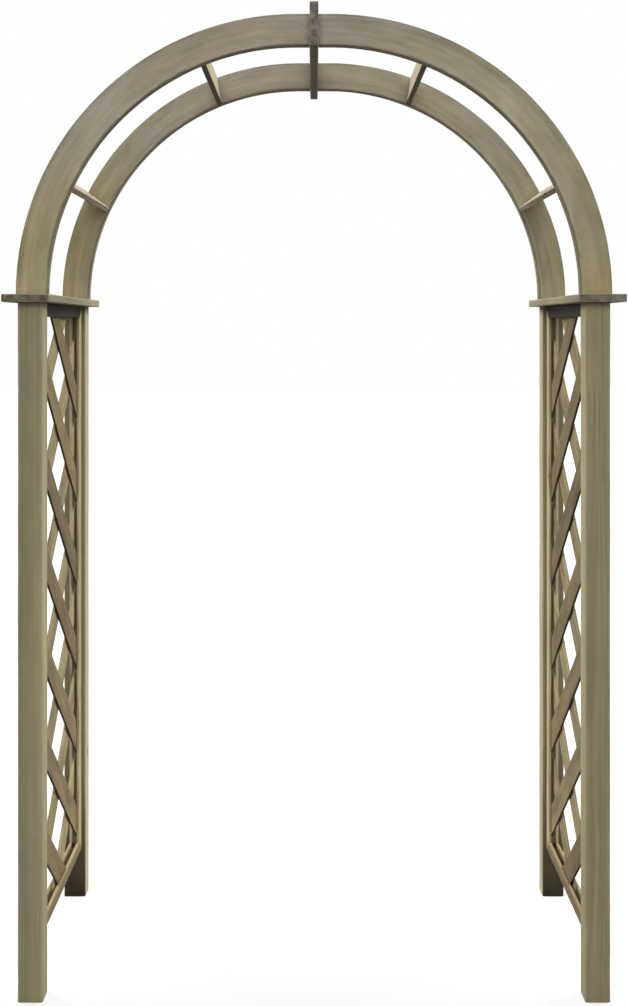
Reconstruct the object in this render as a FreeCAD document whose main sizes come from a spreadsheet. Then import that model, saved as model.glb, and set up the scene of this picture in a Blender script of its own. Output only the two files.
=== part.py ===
import FreeCAD, Part

import math
import os

import Sketcher

doc = FreeCAD.newDocument("garden_arch")
nodes = []

ACROSS = FreeCAD.Vector(1, 0, 0)
BACK = FreeCAD.Vector(0, 1, 0)
UP = FreeCAD.Vector(0, 0, 1)
TINY = 0.001

# Driving sizes in millimetres and degrees, X across the path, Y towards the back, Z up
driving_sizes = {
    "post_section": 56,
    "post_height": 1534,
    "post_spacing_wide": 1244,
    "post_spacing_deep": 544,
    "post_rounding": 5,
    "shelf_width": 104,
    "shelf_thickness": 18,
    "shelf_outer_overhang": 27,
    "shelf_end_overhang": 38,
    "board_rounding": 2.5,
    "ring_width": 70,
    "ring_thickness": 28,
    "ring_rounding": 3,
    "ring_tail": 29,
    "ridge_thickness": 20,
    "ridge_height": 95,
    "ridge_rise": 14,
    "ridge_end_overhang": 42,
    "slat_thickness": 13,
    "slat_inset": 1.5,
    "lower_slat_angle": 25.8,
    "upper_slat_angle": 68.6,
    "slat_tilt": 12,
    "panel_ground_gap": 124,
    "panel_inset": 5,
    "rail_width": 30,
    "rail_thickness": 26,
    "groove_depth": 10,
    "lattice_width": 60,
    "lattice_thickness": 5.5,
    "lattice_pitch": 216,
    "lattice_angle": 38,
    "lattice_drop": 20,
    "lattice_side_gap": 0.25,
    "lattice_end_gap": 0.4,
    "foot_dowel_diameter": 12,
    "foot_dowel_depth": 45,
    "foot_dowel_spacing": 30,
    "crown_dowel_diameter": 10,
    "crown_dowel_depth": 25,
    "crown_dowel_spacing": 34,
    "slat_dowel_diameter": 6,
    "slat_dowel_depth": 18,
    "slat_dowel_spacing": 36,
    "mitre_dowel_diameter": 6,
    "mitre_dowel_cover": 3,
    "screw_length": 60,
    "screw_diameter": 4.5,
    "screw_head_diameter": 8.5,
    "screw_head_height": 3,
    "screw_point_height": 5,
    "screw_end_distance": 200,
    "brad_diameter": 2,
    "bore_clearance": 0.1,
    "bore_end_gap": 0.5,
}

# Places worked out from the driving sizes
layout_formulas = {
    "post_x": "dims.post_spacing_wide / 2",
    "post_y": "dims.post_spacing_deep / 2",
    "springing": "dims.post_height + dims.shelf_thickness",
    "arc_x": "dims.ridge_thickness / 2 + dims.ring_tail",
    "arc_radius": "post_x - arc_x",
    "outer_radius": "arc_radius + dims.ring_width / 2",
    "inner_radius": "arc_radius - dims.ring_width / 2",
    "ridge_top": "springing + outer_radius + dims.ridge_rise",
    "total_depth": "dims.post_spacing_deep + dims.post_section",
    "slat_length": "dims.post_spacing_deep - dims.ring_thickness",
    "panel_x": "post_x - dims.panel_inset",
    "panel_width": "dims.post_spacing_deep - dims.post_section",
    "panel_height": "dims.post_height - dims.panel_ground_gap",
    "panel_middle": "dims.panel_ground_gap + panel_height / 2",
    "lattice_middle": "panel_middle - dims.lattice_drop",
    "rail_web": "dims.rail_width - dims.groove_depth",
    "groove_width": "2 * dims.lattice_thickness + 2 * dims.lattice_side_gap",
    "lattice_wide": "panel_width - 2 * rail_web - 2 * dims.lattice_end_gap",
    "lattice_tall": "panel_height - 2 * rail_web - 2 * dims.lattice_end_gap",
    "screw_head_y": "rail_web - panel_width / 2",
    "mitre_dowel_length": "(rail_web - 2 * dims.mitre_dowel_cover) / cos(45)",
}


def fill_sheet(name, cells):
    sheet = doc.addObject("Spreadsheet::Sheet", name)
    for row, (alias, content) in enumerate(cells.items(), start=1):
        sheet.set(f"A{row}", alias)
        sheet.set(f"B{row}", content)
        sheet.setAlias(f"B{row}", alias)
    doc.recompute()
    return sheet


dims = fill_sheet("dims", {alias: str(value) for alias, value in driving_sizes.items()})
layout = fill_sheet("layout", {alias: "=" + formula for alias, formula in layout_formulas.items()})


def bind(item, expressions):
    for path, expression in expressions.items():
        item.setExpression(path, expression)


def place(item, x, y, z):
    bind(item, {"Placement.Base.x": x, "Placement.Base.y": y, "Placement.Base.z": z})


def turn(item, axis, angle):
    item.Placement = FreeCAD.Placement(FreeCAD.Vector(), FreeCAD.Rotation(axis, 1))
    item.setExpression("Placement.Rotation.Angle", angle)


def keep(item):
    nodes.append(item)
    return item


# Sketches and features shared by the timbers

def start_sketch(body, name, plane_role):
    planes = [feature for feature in body.Origin.OriginFeatures if feature.Role == plane_role]
    sketch = body.newObject("Sketcher::SketchObject", name)
    sketch.AttachmentSupport = [(planes[0], "")]
    sketch.MapMode = "FlatFace"
    return sketch


def draw_closed_outline(sketch, corners):
    count = len(corners)
    for index in range(count):
        start = FreeCAD.Vector(*corners[index], 0)
        end = FreeCAD.Vector(*corners[(index + 1) % count], 0)
        sketch.addGeometry(Part.LineSegment(start, end))
    for index in range(count):
        sketch.addConstraint(Sketcher.Constraint("Coincident", index, 2, (index + 1) % count, 1))


def dimension(sketch, name, expression, constraint):
    index = sketch.addConstraint(constraint)
    sketch.renameConstraint(index, name)
    sketch.setExpression(f"Constraints.{name}", expression)


def draw_rectangle(sketch, wide, tall):
    draw_closed_outline(sketch, [(-50, -20), (50, -20), (50, 20), (-50, 20)])
    for side in (0, 2):
        sketch.addConstraint(Sketcher.Constraint("Horizontal", side))
    for side in (1, 3):
        sketch.addConstraint(Sketcher.Constraint("Vertical", side))
    sketch.addConstraint(Sketcher.Constraint("Symmetric", 0, 1, 1, 2, -1, 1))
    dimension(sketch, "wide", wide, Sketcher.Constraint("DistanceX", 0, 1, 0, 2, 100))
    dimension(sketch, "tall", tall, Sketcher.Constraint("DistanceY", 1, 1, 1, 2, 40))


def pad_both_ways(body, sketch, length):
    pad = body.newObject("PartDesign::Pad", f"{body.Name}_pad")
    pad.Profile = sketch
    pad.SideType = "Symmetric"
    pad.setExpression("Length", length)
    doc.recompute()
    return pad


def round_edges(body, base, radius, is_chosen):
    edges = [f"Edge{number}" for number, edge in enumerate(base.Shape.Edges, start=1) if is_chosen(edge)]
    rounding = body.newObject("PartDesign::Fillet", f"{body.Name}_rounding")
    rounding.Base = (base, edges)
    rounding.setExpression("Radius", radius)


def every_edge(edge):
    return True


def runs_upright(edge):
    return edge.BoundBox.XLength < TINY and edge.BoundBox.YLength < TINY


# A straight timber is a rectangle padded both ways, so it is centred on its own origin
def timber(name, plane_role, wide, tall, length, radius=None, is_chosen=every_edge):
    body = doc.addObject("PartDesign::Body", name)
    sketch = start_sketch(body, f"{name}_section", plane_role)
    draw_rectangle(sketch, wide, tall)
    pad = pad_both_ways(body, sketch, length)
    if radius:
        round_edges(body, pad, radius, is_chosen)
    return body


# A frame stick lies along Y with its outer edge at Z zero, mitred ends and a groove in its inner edge
def mitred_stick(name, length):
    body = doc.addObject("PartDesign::Body", name)
    outline = start_sketch(body, f"{name}_outline", "YZ_Plane")
    draw_closed_outline(outline, [(-100, 0), (100, 0), (70, 30), (-70, 30)])
    outline.addConstraint(Sketcher.Constraint("Symmetric", 0, 1, 0, 2, -1, 1))
    outline.addConstraint(Sketcher.Constraint("PointOnObject", 0, 1, -1))
    outline.addConstraint(Sketcher.Constraint("Symmetric", 2, 2, 2, 1, -2))
    dimension(outline, "outer", length, Sketcher.Constraint("DistanceX", 0, 1, 0, 2, 200))
    dimension(outline, "inner", f"{length} - 2 * dims.rail_width",
              Sketcher.Constraint("DistanceX", 2, 2, 2, 1, 140))
    dimension(outline, "depth", "dims.rail_width", Sketcher.Constraint("DistanceY", 0, 2, 1, 2, 30))
    pad_both_ways(body, outline, "dims.rail_thickness")
    groove = start_sketch(body, f"{name}_groove", "YZ_Plane")
    draw_rectangle(groove, length, "2 * dims.groove_depth")
    groove.setExpression("AttachmentOffset.Base.y", "dims.rail_width")
    pocket = body.newObject("PartDesign::Pocket", f"{name}_groove_pocket")
    pocket.Profile = groove
    pocket.SideType = "Symmetric"
    pocket.setExpression("Length", "layout.groove_width")
    return body


# An arch half is a quarter ring about its own origin with a short straight tail at the crown
def ring_half(name):
    body = doc.addObject("PartDesign::Body", name)
    sketch = start_sketch(body, f"{name}_outline", "XZ_Plane")
    centre = FreeCAD.Vector(0, 0, 0)
    upright = FreeCAD.Vector(0, 0, 1)
    outer = layout.outer_radius
    inner = layout.inner_radius
    tail = dims.ring_tail
    lines = [((inner, 0), (outer, 0)), ((0, outer), (-tail, outer)),
             ((-tail, outer), (-tail, inner)), ((-tail, inner), (0, inner))]
    foot, top, end, soffit = [
        sketch.addGeometry(Part.LineSegment(FreeCAD.Vector(*start, 0), FreeCAD.Vector(*stop, 0)))
        for start, stop in lines
    ]
    outer_arc, inner_arc = [
        sketch.addGeometry(Part.ArcOfCircle(Part.Circle(centre, upright, radius), 0, math.pi / 2))
        for radius in (outer, inner)
    ]
    for arc, foot_end, tail_line, tail_end in ((outer_arc, 2, top, 1), (inner_arc, 1, soffit, 2)):
        sketch.addConstraint(Sketcher.Constraint("Coincident", arc, 3, -1, 1))
        sketch.addConstraint(Sketcher.Constraint("Coincident", arc, 1, foot, foot_end))
        sketch.addConstraint(Sketcher.Constraint("Coincident", arc, 2, tail_line, tail_end))
        sketch.addConstraint(Sketcher.Constraint("PointOnObject", arc, 1, -1))
        sketch.addConstraint(Sketcher.Constraint("PointOnObject", arc, 2, -2))
        sketch.addConstraint(Sketcher.Constraint("Horizontal", tail_line))
    sketch.addConstraint(Sketcher.Constraint("Coincident", top, 2, end, 1))
    sketch.addConstraint(Sketcher.Constraint("Coincident", end, 2, soffit, 1))
    sketch.addConstraint(Sketcher.Constraint("Vertical", end))
    dimension(sketch, "outer", "layout.outer_radius", Sketcher.Constraint("Radius", outer_arc, outer))
    dimension(sketch, "inner", "layout.inner_radius", Sketcher.Constraint("Radius", inner_arc, inner))
    dimension(sketch, "tail", "dims.ring_tail", Sketcher.Constraint("DistanceX", top, 2, top, 1, tail))
    pad = pad_both_ways(body, sketch, "dims.ring_thickness")

    def is_long_edge(edge):
        box = edge.BoundBox
        in_face = box.YLength < TINY
        at_foot = box.ZMax < TINY
        at_crown_end = box.XMax < TINY - tail
        return in_face and not at_foot and not at_crown_end

    round_edges(body, pad, "dims.ring_rounding", is_long_edge)
    return body


# Fasteners, each made beside the bore that takes it

def rod(name, diameter, length, centre, direction):
    cylinder = doc.addObject("Part::Cylinder", name)
    cylinder.Placement = FreeCAD.Placement(FreeCAD.Vector(), FreeCAD.Rotation(UP, direction))
    bind(cylinder, {"Radius": f"({diameter}) / 2", "Height": length})
    starts = [f"{middle} - ({length}) * {share / 2}" for middle, share in zip(centre, direction)]
    place(cylinder, *starts)
    return cylinder


def dowel_and_bore(name, diameter, length, centre, direction):
    dowel = rod(name, diameter, length, centre, direction)
    bore_diameter = f"{diameter} + 2 * dims.bore_clearance"
    bore = rod(f"{name}_bore", bore_diameter, f"{length} + 2 * dims.bore_end_gap", centre, direction)
    return dowel, bore


# A countersunk screw runs forwards from the bottom of the stile's groove into the post
def screw_shape(name, height, slack):
    sections = [
        ("head", "0", "dims.screw_head_height", "dims.screw_head_diameter", "dims.screw_diameter"),
        ("shank", "dims.screw_head_height", "dims.screw_length - dims.screw_head_height"
         " - dims.screw_point_height", "dims.screw_diameter", "dims.screw_diameter"),
        ("point", "dims.screw_length - dims.screw_point_height", "dims.screw_point_height",
         "dims.screw_diameter", "dims.screw_diameter / 4"),
    ]
    cones = []
    for section, start, length, wide, narrow in sections:
        kind = "Part::Cylinder" if wide == narrow else "Part::Cone"
        cone = doc.addObject(kind, f"{name}_{section}")
        cone.Placement = FreeCAD.Placement(FreeCAD.Vector(), FreeCAD.Rotation(UP, -BACK))
        place(cone, "layout.panel_x", f"layout.screw_head_y - ({start})", height)
        cone.setExpression("Height", length)
        if wide == narrow:
            cone.setExpression("Radius", f"{wide} / 2 + {slack}")
        else:
            bind(cone, {"Radius1": f"{wide} / 2 + {slack}", "Radius2": f"{narrow} / 2 + {slack}"})
        cones.append(cone)
    screw = doc.addObject("Part::MultiFuse", name)
    screw.Shapes = cones
    return screw


def gather(name, items):
    group = doc.addObject("Part::Compound", name)
    group.Links = items
    return group


def drill(name, blank, bores):
    cut = doc.addObject("Part::Cut", name)
    cut.Base = blank
    cut.Tool = gather(f"{name}_bores", bores)
    return cut


def mirror(name, source, normal):
    copy = doc.addObject("Part::Mirroring", name)
    copy.Source = source
    copy.Normal = normal
    return copy


def behind(item):
    return mirror(f"{item.Name}_behind", item, BACK)


# A fastener set of the front right corner is mirrored into the other three
def keep_in_corners(name, items):
    front = gather(f"{name}_front_right", items)
    front_pair = gather(f"{name}_front", [front, mirror(f"{name}_front_left", front, ACROSS)])
    return keep(gather(name, [front_pair, behind(front_pair)]))


def keep_in_four_corners(piece, front_right):
    keep(front_right)
    keep(mirror(f"front_left_{piece}", front_right, ACROSS))
    rear_right = keep(mirror(f"rear_right_{piece}", front_right, BACK))
    keep(mirror(f"rear_left_{piece}", rear_right, ACROSS))


def keep_on_both_sides(piece, right):
    keep(right)
    keep(mirror(f"left_{piece}", right, ACROSS))


# Dowels and screws of the front right corner
foot_joints = [
    dowel_and_bore(
        f"foot_dowel_{number}", "dims.foot_dowel_diameter",
        "dims.shelf_thickness + 2 * dims.foot_dowel_depth",
        (f"layout.post_x + {side} * dims.foot_dowel_spacing / 2", "-layout.post_y",
         "dims.post_height + dims.shelf_thickness / 2"), UP)
    for number, side in ((1, -1), (2, 1))
]
crown_joints = [
    dowel_and_bore(
        f"crown_dowel_{number}", "dims.crown_dowel_diameter",
        "dims.ridge_thickness + 2 * dims.crown_dowel_depth",
        ("0", "-layout.post_y",
         f"layout.springing + layout.arc_radius + {side} * dims.crown_dowel_spacing / 2"), ACROSS)
    for number, side in ((1, -1), (2, 1))
]


def slat_centre(level):
    angle = f"dims.{level}_slat_angle"
    return (f"layout.arc_x + layout.arc_radius * cos({angle})",
            f"layout.springing + layout.arc_radius * sin({angle})")


def slat_lean(level):
    return f"(dims.{level}_slat_angle + dims.slat_tilt)"


def slat_joints(level):
    slat_x, slat_z = slat_centre(level)
    lean = slat_lean(level)
    joints = []
    for number, side in ((1, -1), (2, 1)):
        offset = f"{side} * dims.slat_dowel_spacing / 2"
        centre = (f"{slat_x} + {offset} * cos({lean})",
                  "dims.ring_thickness / 2 - layout.post_y",
                  f"{slat_z} + {offset} * sin({lean})")
        joints.append(dowel_and_bore(f"{level}_slat_dowel_{number}", "dims.slat_dowel_diameter",
                                     "2 * dims.slat_dowel_depth", centre, BACK))
    return joints


lower_joints = slat_joints("lower")
upper_joints = slat_joints("upper")


def mitre_joint(level, height, rising):
    direction = FreeCAD.Vector(0, 1, rising).normalize()
    centre = ("layout.panel_x", "layout.rail_web / 2 - layout.panel_width / 2", height)
    return dowel_and_bore(f"{level}_mitre_dowel", "dims.mitre_dowel_diameter",
                          "layout.mitre_dowel_length", centre, direction)


bottom_mitre = mitre_joint("bottom", "dims.panel_ground_gap + layout.rail_web / 2", -1)
top_mitre = mitre_joint("top", "dims.post_height - layout.rail_web / 2", 1)

screw_heights = {
    "low": "dims.panel_ground_gap + dims.screw_end_distance",
    "middle": "layout.panel_middle",
    "high": "dims.post_height - dims.screw_end_distance",
}
screws = [screw_shape(f"{level}_screw", height, "0") for level, height in screw_heights.items()]
screw_bores = [screw_shape(f"{level}_screw_bore", height, "dims.bore_clearance")
               for level, height in screw_heights.items()]


def dowels_of(joints):
    return [dowel for dowel, bore in joints]


def bores_of(joints):
    return [bore for dowel, bore in joints]


def bores_at_both_ends(joints):
    return bores_of(joints) + [behind(bore) for bore in bores_of(joints)]


# Four posts
post = timber("post_blank", "XY_Plane", "dims.post_section", "dims.post_section",
              "dims.post_height", "dims.post_rounding", runs_upright)
place(post, "layout.post_x", "-layout.post_y", "dims.post_height / 2")
keep_in_four_corners("post", drill("front_right_post", post, bores_of(foot_joints) + screw_bores))

# Two shelf boards that cap the posts and carry the arches
shelf = timber("shelf_blank", "XY_Plane", "dims.shelf_width",
               "layout.total_depth + 2 * dims.shelf_end_overhang",
               "dims.shelf_thickness", "dims.board_rounding")
place(shelf, "layout.post_x + dims.post_section / 2 + dims.shelf_outer_overhang - dims.shelf_width / 2",
      "0", "dims.post_height + dims.shelf_thickness / 2")
keep_on_both_sides("shelf_board", drill("right_shelf_board", shelf, bores_at_both_ends(foot_joints)))

# Four arch halves
ring = ring_half("ring_blank")
place(ring, "layout.arc_x", "-layout.post_y", "layout.springing")
ring_joints = foot_joints + crown_joints + lower_joints + upper_joints
keep_in_four_corners("arch_half", drill("front_right_arch_half", ring, bores_of(ring_joints)))

# One ridge board held between the arch halves
ridge = timber("ridge_blank", "XZ_Plane", "dims.ridge_thickness", "dims.ridge_height",
               "layout.total_depth + 2 * dims.ridge_end_overhang", "dims.board_rounding")
place(ridge, "0", "0", "layout.ridge_top - dims.ridge_height / 2")
keep(drill("ridge_board", ridge, bores_at_both_ends(crown_joints)))

# Four cross slats between the front and rear arches, tilted a little from the radius
for level, joints in (("lower", lower_joints), ("upper", upper_joints)):
    slat_x, slat_z = slat_centre(level)
    slat = timber(f"{level}_slat_blank", "XZ_Plane", "dims.ring_width - 2 * dims.slat_inset",
                  "dims.slat_thickness", "layout.slat_length")
    turn(slat, BACK, f"-{slat_lean(level)}")
    place(slat, slat_x, "0", slat_z)
    drilled_slat = drill(f"right_{level}_cross_slat", slat, bores_at_both_ends(joints))
    keep_on_both_sides(f"{level}_cross_slat", drilled_slat)

# Two grooved and mitred panel frames
bottom_rail = mitred_stick("bottom_rail_blank", "layout.panel_width")
place(bottom_rail, "layout.panel_x", "0", "dims.panel_ground_gap")
keep_on_both_sides("bottom_rail",
                   drill("right_bottom_rail", bottom_rail, bores_at_both_ends([bottom_mitre])))

top_rail = mitred_stick("top_rail_blank", "layout.panel_width")
turn(top_rail, ACROSS, "180")
place(top_rail, "layout.panel_x", "0", "dims.post_height")
keep_on_both_sides("top_rail", drill("right_top_rail", top_rail, bores_at_both_ends([top_mitre])))

stile = mitred_stick("stile_blank", "layout.panel_height")
turn(stile, ACROSS, "-90")
place(stile, "layout.panel_x", "-layout.panel_width / 2", "layout.panel_middle")
stile_bores = bores_of([bottom_mitre, top_mitre]) + screw_bores
keep_in_four_corners("stile", drill("front_right_stile", stile, stile_bores))

# Lattice slats in two layers, inner ones falling and outer ones rising towards the back
# They spread from a little below the panel's middle, and a corner under half a pitch deep stays open
slope = math.tan(math.radians(dims.lattice_angle))
half_wide = layout.lattice_wide / 2
half_tall = layout.lattice_tall / 2
corner_reach = half_tall + half_wide * slope
open_corner_share = 0.5
slats_above = int((corner_reach + dims.lattice_drop) / dims.lattice_pitch - open_corner_share)
slats_below = int((corner_reach - dims.lattice_drop) / dims.lattice_pitch - open_corner_share)
slat_numbers = range(-slats_below, slats_above + 1)


def slat_position(number):
    if number == 0:
        return "middle"
    return f"above_{number}" if number > 0 else f"below_{-number}"


def crossing_is_inside(falling, rising):
    y = (falling - rising) * dims.lattice_pitch / 2 / slope
    z = (falling + rising) * dims.lattice_pitch / 2 - dims.lattice_drop
    margin = dims.groove_depth + dims.brad_diameter
    return abs(y) < half_wide - margin and abs(z) < half_tall - margin


brads = []
brad_bores = []
for falling in slat_numbers:
    for rising in slat_numbers:
        if crossing_is_inside(falling, rising):
            centre = ("layout.panel_x",
                      f"{falling - rising} * dims.lattice_pitch / 2 / tan(dims.lattice_angle)",
                      f"layout.lattice_middle + {falling + rising} * dims.lattice_pitch / 2")
            brad, bore = dowel_and_bore(f"brad_{len(brads) + 1}", "dims.brad_diameter",
                                        "2 * dims.lattice_thickness", centre, ACROSS)
            brads.append(brad)
            brad_bores.append(bore)

lattice_space = timber("lattice_space", "YZ_Plane", "layout.lattice_wide", "layout.lattice_tall",
                       "2 * layout.groove_width")
place(lattice_space, "layout.panel_x", "0", "layout.panel_middle")
all_brad_bores = gather("all_brad_bores", brad_bores)

for layer, side, lean in (("inner", -1, -1), ("outer", 1, 1)):
    for number in slat_numbers:
        name = f"{layer}_lattice_slat_{slat_position(number)}"
        strip = timber(f"{name}_strip", "YZ_Plane",
                       "2 * (layout.lattice_wide + dims.lattice_width) / cos(dims.lattice_angle)",
                       "dims.lattice_width", "dims.lattice_thickness")
        turn(strip, ACROSS, f"{lean} * dims.lattice_angle")
        place(strip, f"layout.panel_x + {side} * dims.lattice_thickness / 2", "0",
              f"layout.lattice_middle + {number} * dims.lattice_pitch")
        trimmed = doc.addObject("Part::Common", f"{name}_trimmed")
        trimmed.Base = strip
        trimmed.Tool = lattice_space
        keep_on_both_sides(name, drill(f"right_{name}", trimmed, [all_brad_bores]))

# Fasteners grouped by kind
keep_in_corners("foot_dowels", dowels_of(foot_joints))
keep_in_corners("cross_slat_dowels", dowels_of(lower_joints + upper_joints))
keep_in_corners("mitre_dowels", dowels_of([bottom_mitre, top_mitre]))
keep_in_corners("panel_screws", screws)
crown_front = gather("crown_dowels_front", dowels_of(crown_joints))
keep(gather("crown_dowels", [crown_front, behind(crown_front)]))
brads_right = gather("lattice_brads_right", brads)
keep(gather("lattice_brads", [brads_right, mirror("lattice_brads_left", brads_right, ACROSS)]))

# Every object is sound before any file is written
doc.recompute()
for item in doc.Objects:
    if "Invalid" in item.State or "Error" in item.State:
        raise RuntimeError(f"{item.Label} failed: {item.State}")
for node in nodes:
    if node.Shape.isNull() or not node.Shape.isValid() or not node.Shape.Solids:
        raise RuntimeError(f"{node.Label} has no sound shape")

os.makedirs("parts", exist_ok=True)
for node in nodes:
    node.Shape.exportStep(f"parts/{node.Label}.step")
    print(node.Label, len(node.Shape.Solids), round(node.Shape.Volume))
print(len(nodes), "nodes written")
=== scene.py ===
import math

import bpy
import numpy as np
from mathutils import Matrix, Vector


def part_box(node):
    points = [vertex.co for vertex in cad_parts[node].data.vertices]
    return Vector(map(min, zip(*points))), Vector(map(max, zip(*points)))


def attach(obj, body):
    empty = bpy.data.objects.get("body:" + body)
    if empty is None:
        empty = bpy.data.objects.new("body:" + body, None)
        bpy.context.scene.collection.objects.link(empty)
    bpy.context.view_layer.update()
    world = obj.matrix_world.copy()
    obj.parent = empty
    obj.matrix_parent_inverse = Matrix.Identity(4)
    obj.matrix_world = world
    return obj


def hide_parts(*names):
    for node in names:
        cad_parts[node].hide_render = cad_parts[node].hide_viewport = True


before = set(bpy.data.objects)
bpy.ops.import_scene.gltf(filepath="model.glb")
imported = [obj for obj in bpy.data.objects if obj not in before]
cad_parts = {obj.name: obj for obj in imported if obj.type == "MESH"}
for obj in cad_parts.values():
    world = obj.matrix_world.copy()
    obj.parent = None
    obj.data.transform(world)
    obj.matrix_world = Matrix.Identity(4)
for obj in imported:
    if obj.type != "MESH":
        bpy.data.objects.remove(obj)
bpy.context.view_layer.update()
print("frame loaded:", len(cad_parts), "nodes")

xAxis, yAxis, zAxis = np.eye(3)


# shader maths: a wire is one output of a node, and sums and products of wires add Math nodes
class Wire:
    def __init__(self, tree, socket=None):
        self.tree = tree
        self.socket = socket

    def add(self, kind, settings=None, inputs=None, out=0):
        node = self.tree.nodes.new(kind)
        for key, value in (settings or {}).items():
            setattr(node, key, value)
        for key, value in (inputs or {}).items():
            if isinstance(value, Wire):
                self.tree.links.new(value.socket, node.inputs[key])
            else:
                node.inputs[key].default_value = value
        return Wire(self.tree, node.outputs[out] if len(node.outputs) else None)

    def maths(self, operation, *values):
        return self.add("ShaderNodeMath", {"operation": operation}, dict(enumerate(values)))

    def __add__(self, other):
        return self.maths("ADD", self, other)

    def __radd__(self, other):
        return self.maths("ADD", other, self)

    def __sub__(self, other):
        return self.maths("SUBTRACT", self, other)

    def __rsub__(self, other):
        return self.maths("SUBTRACT", other, self)

    def __mul__(self, other):
        return self.maths("MULTIPLY", self, other)

    def __rmul__(self, other):
        return self.maths("MULTIPLY", other, self)

    def __truediv__(self, other):
        return self.maths("DIVIDE", self, other)

    # 0 before the first value, 1 after the second, an S curve between
    def ramp(self, first, second):
        return self.add("ShaderNodeMapRange", {"interpolation_type": "SMOOTHSTEP"},
                        {"Value": self, "From Min": first, "From Max": second})

    def vector(self, operation, other, out=0):
        return self.add("ShaderNodeVectorMath", {"operation": operation}, {0: self, 1: other}, out)

    def scaled(self, factor):
        return self.add("ShaderNodeVectorMath", {"operation": "SCALE"}, {0: self, "Scale": factor})

    # soft cloudy pattern: stretch gives how many clouds lie in a metre along each axis
    def clouds(self, stretch, detail=2.0, roughness=0.5, shift=0.0, out=0):
        place = self.add("ShaderNodeMapping", None,
                         {"Vector": self, "Scale": stretch, "Location": (shift, shift, shift)})
        return self.add("ShaderNodeTexNoise", None,
                        {"Vector": place, "Scale": 1.0, "Detail": detail, "Roughness": roughness}, out)

    def toward(self, colour, amount):
        return self.add("ShaderNodeMix", {"data_type": "RGBA"}, {0: amount, 6: self, 7: colour}, 2)

    def parts(self):
        node = self.add("ShaderNodeSeparateXYZ", None, {0: self}).socket.node
        return [Wire(self.tree, output) for output in node.outputs]


def newTree(name):
    material = bpy.data.materials.new(name)
    material.use_nodes = True
    material.node_tree.nodes.clear()
    return material, Wire(material.node_tree)


# patterns drawn out along the grain: clouds in a metre along each axis, detail, roughness and shift
grainPatterns = {
    "wobble": ((55.0, 55.0, 3.0), 2.0),
    "fibre": ((520.0, 520.0, 9.0), 2.0, 0.6),
    "streak": ((95.0, 95.0, 1.3), 3.0, 0.6, 3.0),
    "board": ((26.0, 26.0, 0.9), 2.0, 0.5, 9.0),
    "moss": ((8.0, 8.0, 1.9), 3.0, 0.6, 13.0),
    "blotch": ((48.0, 48.0, 2.0), 3.0, 0.6, 31.0),
    "mottle": ((34.0, 34.0, 10.0), 3.0, 0.6, 43.0),
    "split": ((62.0, 62.0, 0.85), 1.0, 0.5, 21.0),
    "splitArea": ((5.0, 5.0, 1.0), 1.0, 0.5, 17.0),
}
# reaches in metres, and the pattern values between which a mark grows from none to full
wood = {"swirl": 0.006, "wobble": 0.0016, "lateRise": (0.30, 0.86), "lateFall": (1.0, 0.93),
        "leastLate": 0.4, "splitWidth": 0.009, "splitArea": (0.61, 0.70), "mossArea": (0.42, 0.70),
        "stainArea": (0.40, 0.72), "blotchArea": (0.3, 0.7), "boards": 0.55, "fibres": 0.22, "bump": 0.6}


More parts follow.
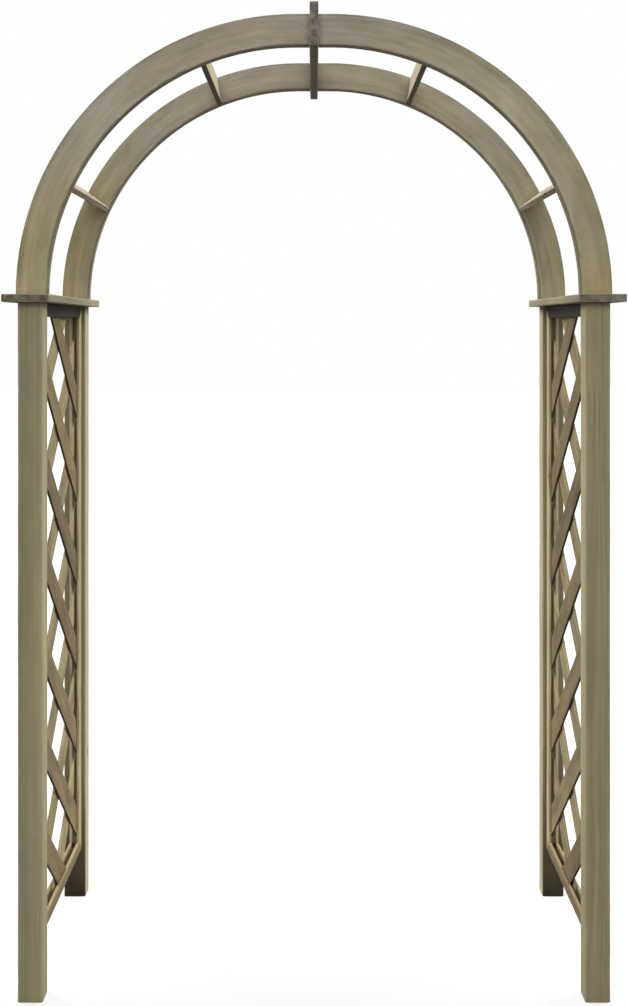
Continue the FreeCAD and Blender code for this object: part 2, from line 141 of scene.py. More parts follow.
# timber: growth rings are the fractional part of the distance from the pith over the ring width,
# with fibres, streaks, stains, knots and drying cracks drawn out along the grain
def timberMaterial(name, look):
    material, wire = newTree(name)
    grain = wire.add("ShaderNodeAttribute", {"attribute_name": "grain"}, None, "Vector")
    wearEndsAndShade = wire.add("ShaderNodeAttribute", {"attribute_name": "wearEndsAndShade"}, None, "Vector")
    tone = wire.add("ShaderNodeAttribute", {"attribute_name": "tone"}, None, "Vector")
    edge, endGrain, paintedShade = wearEndsAndShade.parts()
    light, green, stained = tone.parts()

    knotCell = wire.add("ShaderNodeTexVoronoi", None,
                        {"Vector": grain.vector("MULTIPLY", look["knotCells"]), "Scale": 1.0})
    size = look["knotSize"]
    knot = knotCell.ramp(size, size * 0.65)
    knotRim = knotCell.ramp(size * 1.3, size * 0.9) - knot * 0.6
    swirl = knotCell.ramp(size * 4.0, size * 0.7)

    wander = grain.clouds((5.0, 5.0, 1.1), 1.0, 0.5, 0.0, 1)
    wander = wander.vector("SUBTRACT", (0.5, 0.5, 0.5)).scaled(look["wander"])
    trunk = grain.vector("ADD", wander).vector("MULTIPLY", (1.0, 1.0, 0.0))
    fromPith = trunk.vector("LENGTH", (0.0, 0.0, 0.0), "Value")
    pattern = {mark: grain.clouds(*settings) for mark, settings in grainPatterns.items()}
    bend = swirl * wood["swirl"] + (pattern["wobble"] - 0.5) * wood["wobble"]
    rings = (fromPith + bend) / look["ringWidth"]
    phase = rings.maths("FRACT", rings)
    eachRing = rings.add("ShaderNodeTexWhiteNoise", {"noise_dimensions": "1D"},
                         {"W": rings.maths("FLOOR", rings)})
    lateWood = phase.ramp(*wood["lateRise"]) * phase.ramp(*wood["lateFall"])
    lateWood = lateWood * (wood["leastLate"] + eachRing * (1.0 - wood["leastLate"]))

    fibre, streak = pattern["fibre"], pattern["streak"]
    stain = grain.clouds(look["stainCells"], 3.0, 0.55, 5.0)
    splitLine = pattern["split"] - 0.5
    splitLine = splitLine.maths("ABSOLUTE", splitLine).ramp(wood["splitWidth"], 0.0)
    crack = splitLine * pattern["splitArea"].ramp(*wood["splitArea"])

    colour = wire.add("ShaderNodeMix", {"data_type": "RGBA"},
                      {0: lateWood * look["ringContrast"], 6: look["early"], 7: look["late"]}, 2)
    mossy = pattern["moss"].ramp(*wood["mossArea"]) * 0.7 + green
    colour = colour.toward(look["green"], mossy * look["greenAmount"])
    marked = stain.ramp(*wood["stainArea"]) * 0.7 + stained
    colour = colour.toward(look["stain"], marked * look["stainAmount"])
    colour = colour.toward(look["worn"], edge * (0.35 + fibre * 0.5) * look["wornAmount"])
    shade = 1.0 + (streak - 0.5) * look["streaks"] + (pattern["board"] - 0.5) * wood["boards"]
    shade = shade + (fibre - 0.5) * wood["fibres"] + (pattern["mottle"] - 0.5) * look["mottles"]
    colour = colour.scaled(shade * light)
    colour = colour.toward(look["knot"], knot * 0.75 + knotRim * 0.35)
    cutEnd = wire.add("ShaderNodeMix", {"data_type": "RGBA"},
                      {0: stained, 6: look["end"], 7: look["endGrey"]}, 2)
    colour = colour.toward(cutEnd, endGrain * (0.82 - lateWood * 0.25))
    blotch = pattern["blotch"].ramp(*wood["blotchArea"])
    colour = colour.scaled(1.0 + endGrain * (blotch - 0.5) * look["blotches"])
    colour = colour.toward(look["dark"], crack * look["cracks"])
    # painted shade: the third channel of the per-corner attribute darkens the colour towards a near-black
    # brown
    colour = colour.toward(look["paintedShade"], paintedShade * (0.8 + stain * 0.4))

    height = lateWood * 0.45 + fibre * 0.5 + streak * 0.5 - crack * 2.2 - knotRim * 0.5
    bump = wire.add("ShaderNodeBump", None,
                    {"Strength": wood["bump"], "Distance": look["relief"], "Height": height})
    rough = look["roughness"] + (streak - 0.5) * 0.25 - lateWood * 0.06 + endGrain * 0.08
    shader = wire.add("ShaderNodeBsdfPrincipled", None,
                      {"Base Color": colour, "Roughness": rough, "Normal": bump,
                       "Specular IOR Level": look["shine"]})
    wire.add("ShaderNodeOutputMaterial", None, {"Surface": shader})
    return material


# the dark and green shades are mostly shared, and each timber has its own pale and late wood
def timberLook(early, late, **changes):
    look = {
        "early": early, "late": late,
        "green": (0.29, 0.29, 0.145, 1.0), "greenAmount": 0.5,
        "stain": (0.30, 0.285, 0.235, 1.0), "stainAmount": 0.4, "stainCells": (12.0, 12.0, 2.4),
        "worn": (0.50, 0.44, 0.30, 1.0), "wornAmount": 0.7, "streaks": 0.35, "mottles": 0.35,
        "knot": (0.16, 0.10, 0.05, 1.0),
        "end": (0.19, 0.17, 0.13, 1.0), "endGrey": (0.255, 0.238, 0.215, 1.0), "blotches": 0.6,
        "dark": (0.035, 0.028, 0.02, 1.0), "cracks": 0.8,
        # painted shade colour, a near-black brown
        "paintedShade": (0.031, 0.025, 0.016, 1.0),
        "knotCells": (7.0, 7.0, 4.2), "knotSize": 0.06, "wander": 0.022,
        "ringWidth": 0.0042, "ringContrast": 0.5,
        "relief": 0.0011, "roughness": 0.78, "shine": 0.16,
    }
    look.update(changes)
    return look


postLook = timberLook((0.375, 0.32, 0.18, 1.0), (0.26, 0.21, 0.105, 1.0), wornAmount=0.45, streaks=0.5,
                      cracks=0.25)
archLook = timberLook((0.46, 0.385, 0.215, 1.0), (0.35, 0.28, 0.145, 1.0), ringContrast=0.35,
                      green=(0.46, 0.44, 0.28, 1.0), greenAmount=0.6, knotSize=0.015, cracks=0.2,
                      stain=(0.47, 0.43, 0.355, 1.0), stainAmount=0.8, streaks=0.42, mottles=0.75,
                      wornAmount=0.3)
boardLook = timberLook((0.41, 0.355, 0.215, 1.0), (0.28, 0.23, 0.125, 1.0),
                       stain=(0.25, 0.235, 0.185, 1.0), stainAmount=0.9, end=(0.145, 0.129, 0.098, 1.0),
                       blotches=0.9, shine=0.08)
slatLook = timberLook((0.49, 0.42, 0.295, 1.0), (0.38, 0.31, 0.20, 1.0), greenAmount=0.2, shine=0.07)
panelLook = timberLook((0.41, 0.36, 0.23, 1.0), (0.28, 0.23, 0.13, 1.0),
                       stain=(0.33, 0.24, 0.122, 1.0), stainAmount=0.85, shine=0.07)
latticeLook = timberLook((0.36, 0.27, 0.143, 1.0), (0.235, 0.16, 0.076, 1.0), ringWidth=0.003,
                         stain=(0.17, 0.135, 0.098, 1.0), stainAmount=0.8, stainCells=(20.0, 20.0, 5.0),
                         streaks=0.6, mottles=0.8, shine=0.07)

timberFinish = {
    "post_timber": timberMaterial("postTimber", postLook),
    "arch_timber": timberMaterial("archTimber", archLook),
    "board_timber": timberMaterial("boardTimber", boardLook),
    "slat_timber": timberMaterial("slatTimber", slatLook),
    "panel_timber": timberMaterial("panelTimber", panelLook),
    "lattice_timber": timberMaterial("latticeTimber", latticeLook),
}
print("timber finishes made:", len(timberFinish))


# slow waver along a timber: five sines of rising pitch and falling size, between -1 and 1
def waver(place, chance, pitch):
    pitches = chance.uniform(0.6, 1.5, 5) * 2.0 ** np.arange(5) * pitch
    phases = chance.uniform(0.0, 2.0 * np.pi, 5)
    sizes = 0.62 ** np.arange(5)
    waves = np.sin(2.0 * np.pi * place[:, None] * pitches + phases)
    return waves @ sizes / sizes.sum()


section = {"cornerSteps": 5, "sidePlaces": np.array([0.05, 0.16, 0.5, 0.84, 0.95]), "leastRadius": 0.0004,
           "sharpAngle": math.radians(48.0), "endWear": 0.9, "endGrain": 0.35}


# rounded rectangle: each corner is its own quarter circle round a centre one radius in from both sides,
# joined by straight sides, counter-clockwise; radius has a column for each corner
def roundedSection(halfU, halfV, radius, groove=None):
    turn = np.linspace(0.0, np.pi / 2.0, section["cornerSteps"] + 1)
    places = section["sidePlaces"]
    across, through, edge = [], [], []  # the corners, then the whole outline with its edge and groove masks
    for corner, (signU, signV) in enumerate([(1, 1), (-1, 1), (-1, -1), (1, -1)]):
        r = radius[:, corner:corner + 1]
        angle = turn + corner * np.pi / 2.0
        across.append(signU * (halfU - r) + r * np.cos(angle))
        through.append(signV * (halfV - r) + r * np.sin(angle))
        edge.append(0.45 + 0.55 * np.sin(2.0 * turn))
    u, v, mask, paintedGrooveShade = [], [], [], []
    for corner in range(4):
        after = (corner + 1) % 4
        u.append(across[corner])
        v.append(through[corner])
        mask.append(edge[corner])
        paintedGrooveShade.append(np.zeros(len(turn)))
        fromU, toU = across[corner][:, -1:], across[after][:, :1]
        fromV, toV = through[corner][:, -1:], through[after][:, :1]
        if groove and corner == 3:
            lip, wide, deep = groove["lip"], groove["half"], groove["depth"]
            flat = np.ones_like(fromU)
            u.append(fromU + flat * np.array([0.0, -lip, -deep, -deep, -lip, 0.0]))
            v.append(flat * np.array([-wide - lip, -wide, -wide, wide, wide, wide + lip]))
            mask.append(np.array([0.3, 0.2, 0.0, 0.0, 0.2, 0.3]))
            # painted shade in the groove: its bottom darker than its lips
            paintedGrooveShade.append(np.array([0.0, 0.25, 0.5, 0.5, 0.25, 0.0]))
        else:
            u.append(fromU + (toU - fromU) * places)
            v.append(fromV + (toV - fromV) * places)
            mask.append(0.3 * np.maximum(0.0, 1.0 - 12.0 * np.minimum(places, 1.0 - places)))
            paintedGrooveShade.append(np.zeros(len(places)))
    return np.hstack(u), np.hstack(v), np.hstack(mask), np.hstack(paintedGrooveShade)


# rows of a sweep: how far along each row lies (0 to 1), the step off that place, and how far it is drawn in,
# so that each end turns over in a quarter circle of the ease radius
def sweepRows(length, step, ease):
    inner = np.linspace(0.0, 1.0, max(3, int(length / step) + 1))
    turn = np.radians([90.0, 60.0, 30.0])
    off = ease * (1.0 - np.sin(turn))
    drawn = ease * (1.0 - np.cos(turn))
    share = np.concatenate([np.zeros(3), inner, np.ones(3)])
    shift = np.concatenate([off, ease * (1.0 - 2.0 * inner), -off[::-1]])
    inset = np.concatenate([drawn, np.zeros(len(inner)), drawn[::-1]])
    return share, shift, inset


# a closed timber from its rings of points (row, place round, xyz): quads between rows and a cap on each end
def timberPiece(node, slot, points, grain, tone, wearEndsAndShade):
    rows, around = points.shape[:2]
    r, j = np.meshgrid(np.arange(rows - 1), np.arange(around), indexing="ij")
    cornerRow = r[..., None] + np.array([0, 0, 1, 1])
    cornerPlace = (j[..., None] + np.array([0, 1, 1, 0])) % around
    places = np.arange(around)
    capRow = np.concatenate([np.zeros(around, int), np.full(around, rows - 1)])
    capPlace = np.concatenate([places[::-1], places])
    allRow = np.concatenate([cornerRow.ravel(), capRow])
    allPlace = np.concatenate([cornerPlace.ravel(), capPlace])
    quads = (cornerRow * around + cornerPlace).reshape(-1, 4)
    caps = (capRow * around + capPlace).reshape(2, around)

    mesh = bpy.data.meshes.new(node + "_timber")
    mesh.from_pydata(points.reshape(-1, 3).tolist(), [], quads.tolist() + caps.tolist())
    corners = wearEndsAndShade[allRow, allPlace]
    corners[-2 * around:, 1] = 1.0
    values = {"grain": grain[allRow, allPlace], "wearEndsAndShade": corners, "tone": tone[allRow, allPlace]}
    for name, value in values.items():
        layer = mesh.attributes.new(name, "FLOAT_VECTOR", "CORNER")
        layer.data.foreach_set("vector", value.astype(np.float32).ravel())
    mesh.polygons.foreach_set("use_smooth", np.ones(len(mesh.polygons), bool))
    mesh.set_sharp_from_angle(angle=section["sharpAngle"])
    mesh.materials.append(timberFinish[slot])
    mesh.update()
    piece = bpy.data.objects.new(node + "_timber", mesh)
    bpy.context.scene.collection.objects.link(piece)
    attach(piece, "root")
    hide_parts(node)
    return piece


def nodePoints(node):
    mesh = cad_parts[node].data
    points = np.empty(len(mesh.vertices) * 3, np.float32)
    mesh.vertices.foreach_get("co", points)
    return points.reshape(-1, 3).astype(float)


# lowest and highest reach of a node along three axes
def nodeReach(node, axes):
    reach = nodePoints(node) @ np.array(axes).T
    return reach.min(0), reach.max(0)


# where the pith of the tree lay, seen from the middle of the timber, and the piece's own tone:
# how light, how green and how stained it is, round the tones given for it
def ownWood(chance, cut, tones):
    parts = len(tones)
    angle = chance.uniform(0.0, 2.0 * np.pi, parts)
    away = chance.uniform(cut["pithNear"], cut["pithFar"], parts)
    start = chance.uniform(0.0, 40.0, parts)
    pith = np.stack([away * np.cos(angle), away * np.sin(angle), start], -1)
    spread = np.array([cut["toneSpread"], 0.12, 0.12]) * chance.uniform(-1.0, 1.0, (parts, 3))
    return pith, np.maximum(np.array(tones) + spread, 0.0)


# straight timber: its section carried along one axis, between two ends that may slope across the section
def straightTimber(node, slot, uAxis, alongAxis, cut, chance, tone, ends=None, groove=None, paintedShade=None,
                   paintedLightAndShade=None):
    axes = np.array([uAxis, np.cross(alongAxis, uAxis), alongAxis])
    low, high = nodeReach(node, axes)
    middle, half = (low + high) / 2.0, (high - low) / 2.0
    share, shift, inset = sweepRows(2.0 * half[2], cut["step"], cut["ease"])
    place = (share - 0.5) * 2.0 * half[2]
    radius = np.stack([1.0 + cut["edgeVary"] * waver(place, chance, 3.0) for corner in range(4)], -1)
    radius = np.maximum(cut["edge"] * radius - inset[:, None], section["leastRadius"])
    hollowU = inset + cut["hollow"] * (1.0 + waver(place, chance, 1.5)) / 2.0
    hollowV = inset + cut["hollow"] * (1.0 + waver(place, chance, 1.5)) / 2.0
    u, v, edge, paintedGrooveShade = roundedSection(half[0] - hollowU[:, None], half[1] - hollowV[:, None], radius, groove)
    first, last = -half[2] * np.ones_like(u), half[2] * np.ones_like(u)
    if ends:
        first, last = ends(u, v, middle, half)
    along = first + (last - first) * share[:, None] + shift[:, None]
    local = np.stack([u, v, along], -1)
    points = (local + middle) @ axes
    pith, tones = ownWood(chance, cut, [tone])
    wearEndsAndShade = np.zeros(points.shape)
    turned = (inset / inset.max())[:, None]
    wearEndsAndShade[..., 0] = np.maximum(edge, section["endWear"] * turned)
    wearEndsAndShade[..., 1] = section["endGrain"] * turned
    wearEndsAndShade[..., 2] = paintedGrooveShade
    if paintedShade:
        wearEndsAndShade[..., 2] = np.maximum(paintedGrooveShade, paintedShade(points))
    ownTone = np.tile(tones[0], (*u.shape, 1))
    # painted light and shade: the given function scales the piece's lightness
    if paintedLightAndShade:
        ownTone[..., 0] *= paintedLightAndShade(points)
    return timberPiece(node, slot, points, local + pith[0], ownTone, wearEndsAndShade)


postCut = {"edge": 0.0052, "edgeVary": 0.30, "ease": 0.0012, "hollow": 0.0005, "step": 0.014,
           "pithNear": 0.012, "pithFar": 0.045, "toneSpread": 0.03,
           "tones": {"front": (1.0, 0.2, 0.15), "rear": (1.02, 0.1, 0.15)},
           "face": 0.004, "paintedShade": {"top": 0.42, "amount": 0.95, "power": 1.3},
           "inwardLight": {"outer": 0.92, "gain": 0.18, "power": 1.5}, "shade": {"front": 0.8, "others": 1.1}}


def frontFace(points):
    depth = points[..., 1]
    return depth < depth.min() + postCut["face"]


# painted shade on the front face of the rear posts: none at the top height, most at the foot
def paintedFootShade(points):
    own = postCut["paintedShade"]
    height = np.clip(1.0 - points[..., 2] / own["top"], 0.0, 1.0)
    return own["amount"] * height ** own["power"] * frontFace(points)


# painted light on a post: darkest at the outer side, lightest at the inner one, the walkway side
def paintedInwardLight(points):
    own = postCut["inwardLight"]
    across = np.abs(points[..., 0])
    inward = (across.max() - across) / np.ptp(across)
    return own["outer"] + own["gain"] * inward ** own["power"]


# the rear posts: dark on the front face, in the shade of the panel, and paler on the others
def shadedFront(points):
    own = postCut["shade"]
    return paintedInwardLight(points) * np.where(frontFace(points), own["front"], own["others"])


posts = {}
for side in ("left", "right"):
    for end, tone in postCut["tones"].items():
        node = f"{end}_{side}_post"
        paintedShade, paintedLightAndShade = (paintedFootShade, shadedFront) if end == "rear" else (None, paintedInwardLight)
        chance = np.random.default_rng([11, len(posts)])
        posts[node] = straightTimber(node, "post_timber", xAxis, zAxis, postCut, chance, tone,
                                     paintedShade=paintedShade, paintedLightAndShade=paintedLightAndShade)
print("posts made:", len(posts))


boardCut = {"edge": 0.0026, "edgeVary": 0.35, "ease": 0.0016, "hollow": 0.0005, "step": 0.012,
            "pithNear": 0.02, "pithFar": 0.07, "toneSpread": 0.04,
            "tones": {"left_shelf_board": (0.92, 0.1, 0.05), "right_shelf_board": (0.92, 0.1, 0.05),
                      # the ridge board's darker tone is painted shade, set for its underside
                      "ridge_board": (0.69, 0.0, 0.75)}}
boards = {}
for node, tone in boardCut["tones"].items():
    chance = np.random.default_rng([29, len(boards)])
    boards[node] = straightTimber(node, "board_timber", zAxis, yAxis, boardCut, chance, tone)
print("boards made:", len(boards))


archCut = {"edge": 0.0031, "edgeVary": 0.30, "ease": 0.0012, "hollow": 0.0004, "step": 0.012,
           "pithNear": 0.015, "pithFar": 0.09, "toneSpread": 0.025, "outerPaintedShade": 0.72, "innerPaintedShade": 0.5,
           "footBand": 0.0002, "ends": {"front": 1.0, "rear": 1.1},
           "tones": {14.0: (0.92, 0.0, 0.0), 45.5: (1.04, 0.5, 0.5), 78.0: (0.97, 0.1, 0.7)}}


# arch half: its section carried up a quarter circle and along a short straight end to the ridge board, with
# the grain along the curve and tones set at three angles up it
def archHalf(node, hand, light, cut, chance):
    low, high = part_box(node)
    near, far = sorted((hand * low.x, hand * high.x))
    outer = high.z - low.z
    centreX = far - outer
    solid = nodePoints(node)
    foot = solid[solid[:, 2] < low.z + cut["footBand"]]
    inner = (hand * foot[:, 0]).min() - centreX
    middle, halfWidth, halfDepth = (outer + inner) / 2.0, (outer - inner) / 2.0, (high.y - low.y) / 2.0
    arc, tail = middle * math.pi / 2.0, centreX - near
    length = arc + tail
    share, shift, inset = sweepRows(length, cut["step"], cut["ease"])
    place = share * length
    radius = np.stack([1.0 + cut["edgeVary"] * waver(place, chance, 3.0) for corner in range(4)], -1)
    radius = np.maximum(cut["edge"] * radius - inset[:, None], section["leastRadius"])
    hollow = inset + cut["hollow"] * (1.0 + waver(place, chance, 1.5)) / 2.0
    u, v, edge = roundedSection(halfWidth - inset[:, None], halfDepth - hollow[:, None], radius)[:3]
    along = (place + shift)[:, None]
    angle = np.minimum(along, arc) / middle
    x = centreX + (middle + u) * np.cos(angle) - np.maximum(along - arc, 0.0)
    z = low.z + (middle + u) * np.sin(angle)
    y = (low.y + high.y) / 2.0 + hand * v
    points = np.stack([hand * x, y, z], -1)

    pith, tone = ownWood(chance, cut, list(cut["tones"].values()))
    grain = np.stack([u, v, np.broadcast_to(along, u.shape)], -1) + pith[0]
    turned = np.minimum(place, arc) / middle
    angles = np.radians(list(cut["tones"]))
    tone = np.stack([np.interp(turned, angles, tone[:, k]) for k in range(3)], -1)
    tone = np.repeat(tone[:, None], u.shape[1], 1)
    rim = halfWidth - cut["edge"]
    # painted shade on the arch's outer face, which the lamps light from above
    tone[..., 0] *= light * np.where(u > rim, cut["outerPaintedShade"], 1.0)
    wearEndsAndShade = np.zeros(points.shape)
    wearEndsAndShade[..., 0] = edge
    wearEndsAndShade[..., 1] = section["endGrain"] * (inset / inset.max())[:, None]
    # painted shade along the arch's inner face, the underside
    wearEndsAndShade[..., 2] = cut["innerPaintedShade"] * (u < -rim)
    return timberPiece(node, "arch_timber", points, grain, tone, wearEndsAndShade)


arches = {}
for side, hand in (("left", -1.0), ("right", 1.0)):
    for end, light in archCut["ends"].items():
        node = f"{end}_{side}_arch_half"
        chance = np.random.default_rng([37, len(arches)])
        arches[node] = archHalf(node, hand, light, archCut, chance)
print("arch halves made:", len(arches))


slatCut = {"edge": 0.0016, "edgeVary": 0.35, "ease": 0.0008, "hollow": 0.0003, "step": 0.012,
           "pithNear": 0.03, "pithFar": 0.08, "toneSpread": 0.04,
           # the lower slats' paler tone than the upper ones is painted light
           "levels": {"lower": {"angle": math.radians(37.8), "tone": (1.3, 0.1, 0.0), "paintedShade": 0.4},
                      "upper": {"angle": math.radians(80.6), "tone": (0.96, 0.1, 0.0), "paintedShade": 0.85}}}


# painted shade on the lower edge of a thin slat: all of it below the first rounding, none above
def paintedLowerEdgeShade(across, amount, band=0.0012):
    def paintedShade(points):
        reach = points @ across
        return amount * (reach < reach.min() + band)
    return paintedShade


slats = {}
for side, hand in (("left", -1.0), ("right", 1.0)):
    for level, own in slatCut["levels"].items():
        node = f"{side}_{level}_cross_slat"
        chance = np.random.default_rng([41, len(slats)])
        out = np.array([hand * math.cos(own["angle"]), 0.0, math.sin(own["angle"])])
        slats[node] = straightTimber(node, "slat_timber", out, yAxis, slatCut, chance, own["tone"],
                                     paintedShade=paintedLowerEdgeShade(out, own["paintedShade"]))
print("cross slats made:", len(slats))


panelCut = {"edge": 0.0022, "edgeVary": 0.30, "ease": 0.0006, "hollow": 0.0003, "step": 0.014,
            "pithNear": 0.02, "pithFar": 0.06, "toneSpread": 0.05,
            # the top rail's dark tone is painted shade from the shelf above it
            "tones": {"bottom_rail": (0.64, 0.0, 1.0), "top_rail": (0.28, 0.1, 0.2),
                      "front_stile": (1.15, 0.1, 0.0), "rear_stile": (1.15, 0.1, 0.0)},
            "shelfShade": {"amount": 0.98, "slope": 1.6, "start": 0.45},
            "topLight": {"below": 0.82, "gain": 0.42, "power": 2}, "lip": {"band": 0.0015, "light": 1.4}}
panelGroove = {"half": 0.00575, "depth": 0.0100, "lip": 0.0005}


# mitre: a stick is full length on its outer side and shorter by its own width at each end on the inner side
def mitredEnds(u, v, middle, half):
    reach = half[2] - (u + half[0])
    return -reach, reach


# painted shade on the walkway side of the top rail, under the shelf
def paintedShadeUnderShelf(points):
    own = panelCut["shelfShade"]
    across = np.abs(points[..., 0])
    inward = (across.max() - across) / np.ptp(across)
    return own["amount"] * np.clip(inward * own["slope"] - own["start"], 0.0, 1.0)


# painted light on the bottom rail: paler along its upper edge and darker below
def paintedTopLight(points):
    own = panelCut["topLight"]
    up = (points[..., 2] - points[..., 2].min()) / np.ptp(points[..., 2])
    return own["below"] + own["gain"] * up ** own["power"]


# painted light on the lip of the rear stile that faces the front, as pale as its side
def paintedLipLight(points):
    own = panelCut["lip"]
    depth = points[..., 1]
    return np.where(depth < depth.min() + own["band"], own["light"], 1.0)


sticks = {}
for side in ("left", "right"):
    for name, inward, along in (("bottom_rail", zAxis, yAxis), ("top_rail", -zAxis, yAxis),
                                ("front_stile", yAxis, zAxis), ("rear_stile", -yAxis, zAxis)):
        level, kind = name.split("_")
        node = f"{side}_{level}_{kind}" if kind == "rail" else f"{level}_{side}_{kind}"
        chance = np.random.default_rng([53, len(sticks)])
        paintedShade = paintedShadeUnderShelf if name == "top_rail" else None
        paintedLightAndShade = {"bottom_rail": paintedTopLight, "rear_stile": paintedLipLight}.get(name)
        sticks[node] = straightTimber(node, "panel_timber", inward, along, panelCut, chance,
                                      panelCut["tones"][name], mitredEnds, panelGroove, paintedShade, paintedLightAndShade)
print("panel sticks made:", len(sticks))


latticeCut = {"edge": 0.0011, "edgeVary": 0.35, "ease": 0.0004, "hollow": 0.0002, "step": 0.012,
              "pithNear": 0.02, "pithFar": 0.07, "toneSpread": 0.16, "angle": math.radians(38.0),
              "tones": {"inner": (0.60, 0.15, 0.0), "outer": (1.0, 0.45, 0.0)}, "paintedShade": 0.7}


# lattice slat ends: each place across the slat runs on until it meets a side of the lattice's outline
def latticeEnds(outline, across, along):
    def ends(u, v, middle, half):
        centre = middle[0] * across + middle[2] * along
        alongY = [(side - centre[1] - u * across[1]) / along[1] for side in outline["y"]]
        alongZ = [(side - centre[2] - u * across[2]) / along[2] for side in outline["z"]]
        first = np.maximum(alongY[0], np.minimum(alongZ[0], alongZ[1]))
        last = np.minimum(alongY[1], np.maximum(alongZ[0], alongZ[1]))
        return first, last
    return ends


lattice = {}
for side in ("left", "right"):
    names = sorted(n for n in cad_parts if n.startswith(side) and "lattice_slat" in n)
    boxes = np.array([[list(corner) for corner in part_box(n)] for n in names])
    outline = {"y": (boxes[:, 0, 1].min(), boxes[:, 1, 1].max()),
               "z": (boxes[:, 0, 2].min(), boxes[:, 1, 2].max())}
    for node in names:
        layer, rise = ("inner", -1.0) if "inner" in node else ("outer", 1.0)
        chance = np.random.default_rng([67, len(lattice)])
        level, climb = math.cos(latticeCut["angle"]), rise * math.sin(latticeCut["angle"])
        across, along = np.array([0.0, -climb, level]), np.array([0.0, level, climb])
        lattice[node] = straightTimber(node, "lattice_timber", across, along, latticeCut, chance,
                                       latticeCut["tones"][layer], latticeEnds(outline, across, along),
                                       paintedShade=paintedLowerEdgeShade(across, latticeCut["paintedShade"]))
print("lattice slats made:", len(lattice))


dowelWood = {"colour": (0.42, 0.34, 0.22, 1.0), "dark": (0.27, 0.20, 0.11, 1.0), "roughness": 0.7}
zincSteel = {"colour": (0.20, 0.195, 0.18, 1.0), "dull": (0.11, 0.10, 0.085, 1.0), "roughness": 0.55}


# turned dowel: fine flecks and bands on Object coordinates
def dowelMaterial(look):
    material, wire = newTree("dowelTimber")
    place = wire.add("ShaderNodeTexCoord", None, None, "Object")
    fleck = place.clouds((420.0, 420.0, 420.0), 3.0, 0.6)
    band = place.clouds((60.0, 60.0, 60.0), 2.0)
    colour = wire.add("ShaderNodeMix", {"data_type": "RGBA"},
                      {0: band.ramp(0.35, 0.65) * 0.8, 6: look["colour"], 7: look["dark"]}, 2)
    colour = colour.scaled(0.85 + fleck * 0.3)
    bump = wire.add("ShaderNodeBump", None, {"Strength": 0.4, "Distance": 0.0004, "Height": fleck})
    shader = wire.add("ShaderNodeBsdfPrincipled", None,
                      {"Base Color": colour, "Roughness": look["roughness"] + fleck * 0.15, "Normal": bump})
    wire.add("ShaderNodeOutputMaterial", None, {"Surface": shader})
    return material


# zinc plate: cloudy dull patches over bright metal
def zincMaterial(look):
    material, wire = newTree("zincSteel")
    place = wire.add("ShaderNodeTexCoord", None, None, "Object")
    patch = place.clouds((350.0, 350.0, 350.0), 3.0, 0.6)
    colour = wire.add("ShaderNodeMix", {"data_type": "RGBA"},
                      {0: patch.ramp(0.4, 0.65), 6: look["colour"], 7: look["dull"]}, 2)
    shader = wire.add("ShaderNodeBsdfPrincipled", None,
                      {"Base Color": colour, "Roughness": look["roughness"] + patch * 0.2, "Metallic": 0.9})
    wire.add("ShaderNodeOutputMaterial", None, {"Surface": shader})
    return material


fixings = {"foot_dowels": "wood", "crown_dowels": "wood", "cross_slat_dowels": "wood",
           "mitre_dowels": "wood", "panel_screws": "steel", "lattice_brads": "steel"}
fixingFinish = {"wood": dowelMaterial(dowelWood), "steel": zincMaterial(zincSteel)}
for node, kind in fixings.items():
    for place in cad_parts[node].material_slots:
        place.material = fixingFinish[kind]
print("fixings finished:", len(fixings))


stage = {"floorSize": 60.0, "floorShade": 0.3, "floorGiven": 0.08, "ambient": 0.25, "seenWhite": 1.0}
# each lamp: direction towards it, light on a face turned to it (1 shows a colour as written), softness
lamps = {
    "leftLamp": ((-1.0, 0.5, 0.85), 1.18, 40.0),
    "rightLamp": ((1.0, 0.5, 0.85), 1.18, 40.0),
    "frontLamp": ((0.0, -1.0, 0.25), 0.40, 30.0),
}


def seenDirectly(wire):
    paths = wire.add("ShaderNodeLightPath", None, None, "Is Camera Ray").socket.node
    direct = Wire(wire.tree, paths.outputs["Is Camera Ray"])
    for name in ("Is Glossy Ray", "Is Transmission Ray"):
        direct = direct.maths("MAXIMUM", direct, Wire(wire.tree, paths.outputs[name]))
    return direct


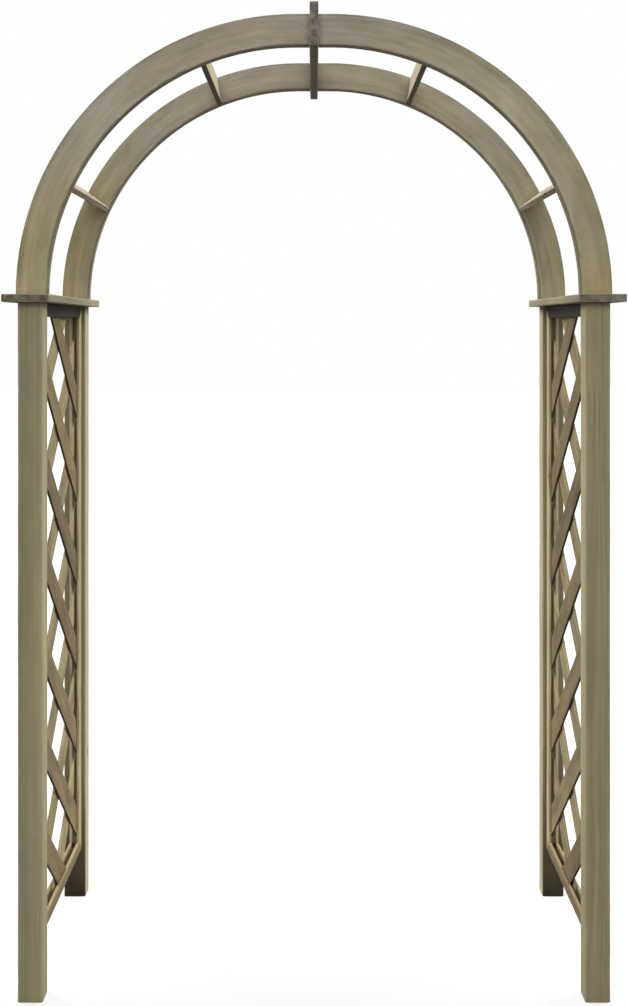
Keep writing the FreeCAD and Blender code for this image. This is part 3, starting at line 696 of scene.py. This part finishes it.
def makeFloor():
    half = stage["floorSize"] / 2.0
    mesh = bpy.data.meshes.new("paleFloor")
    mesh.from_pydata([(-half, -half, 0), (half, -half, 0), (half, half, 0), (-half, half, 0)],
                     [], [(0, 1, 2, 3)])
    material, wire = newTree("paleFloor")
    given = wire.add("ShaderNodeBsdfDiffuse", None, {"Color": (*[stage["floorGiven"]] * 3, 1.0)})
    lit = wire.add("ShaderNodeBsdfDiffuse", None, {"Color": (1, 1, 1, 1)})
    white = wire.add("ShaderNodeEmission", None, {"Color": (1, 1, 1, 1), "Strength": stage["seenWhite"]})
    seen = wire.add("ShaderNodeMixShader", None, {0: stage["floorShade"], 1: white, 2: lit})
    surface = wire.add("ShaderNodeMixShader", None, {0: seenDirectly(wire), 1: given, 2: seen})
    wire.add("ShaderNodeOutputMaterial", None, {"Surface": surface})
    mesh.materials.append(material)
    floor = bpy.data.objects.new("paleFloor", mesh)
    bpy.context.scene.collection.objects.link(floor)


def makeWorld():
    world = bpy.data.worlds.new("studio")
    bpy.context.scene.world = world
    world.use_nodes = True
    world.node_tree.nodes.clear()
    wire = Wire(world.node_tree)
    given = wire.add("ShaderNodeBackground", None, {"Color": (1, 1, 1, 1), "Strength": stage["ambient"]})
    seen = wire.add("ShaderNodeBackground", None, {"Color": (1, 1, 1, 1), "Strength": stage["seenWhite"]})
    surface = wire.add("ShaderNodeMixShader", None, {0: seenDirectly(wire), 1: given, 2: seen})
    wire.add("ShaderNodeOutputWorld", None, {"Surface": surface})


def makeLamps():
    for name, (toward, level, softness) in lamps.items():
        lamp = bpy.data.lights.new(name, "SUN")
        lamp.energy = math.pi * level
        lamp.angle = math.radians(softness)
        holder = bpy.data.objects.new(name, lamp)
        x, y, z = toward
        holder.rotation_euler = (math.atan2(math.hypot(x, y), z), 0.0, math.atan2(x, -y))
        bpy.context.scene.collection.objects.link(holder)


cameraAt = {"place": (0.0, -3.208, 1.4776), "focal": 1328.0, "horizon": 328.2, "tall": 1006,
            "sensor": 36.0, "farthest": 200.0}


# level camera: its focal length and horizon are in pixels of the picture, and the shift sets the horizon
def makeCamera():
    lens = bpy.data.cameras.new("viewer")
    lens.sensor_fit = "VERTICAL"
    lens.sensor_height = cameraAt["sensor"]
    lens.lens = cameraAt["focal"] / cameraAt["tall"] * cameraAt["sensor"]
    lens.shift_y = (cameraAt["horizon"] - cameraAt["tall"] / 2.0) / cameraAt["tall"]
    lens.clip_end = cameraAt["farthest"]
    viewer = bpy.data.objects.new("viewer", lens)
    viewer.location = cameraAt["place"]
    viewer.rotation_euler = (math.pi / 2.0, 0.0, 0.0)
    bpy.context.scene.collection.objects.link(viewer)
    bpy.context.scene.camera = viewer


makeFloor()
makeWorld()
makeLamps()
makeCamera()
bpy.context.scene.view_settings.view_transform = "Standard"
print("stage, lamps and camera set")

bpy.context.view_layer.update()
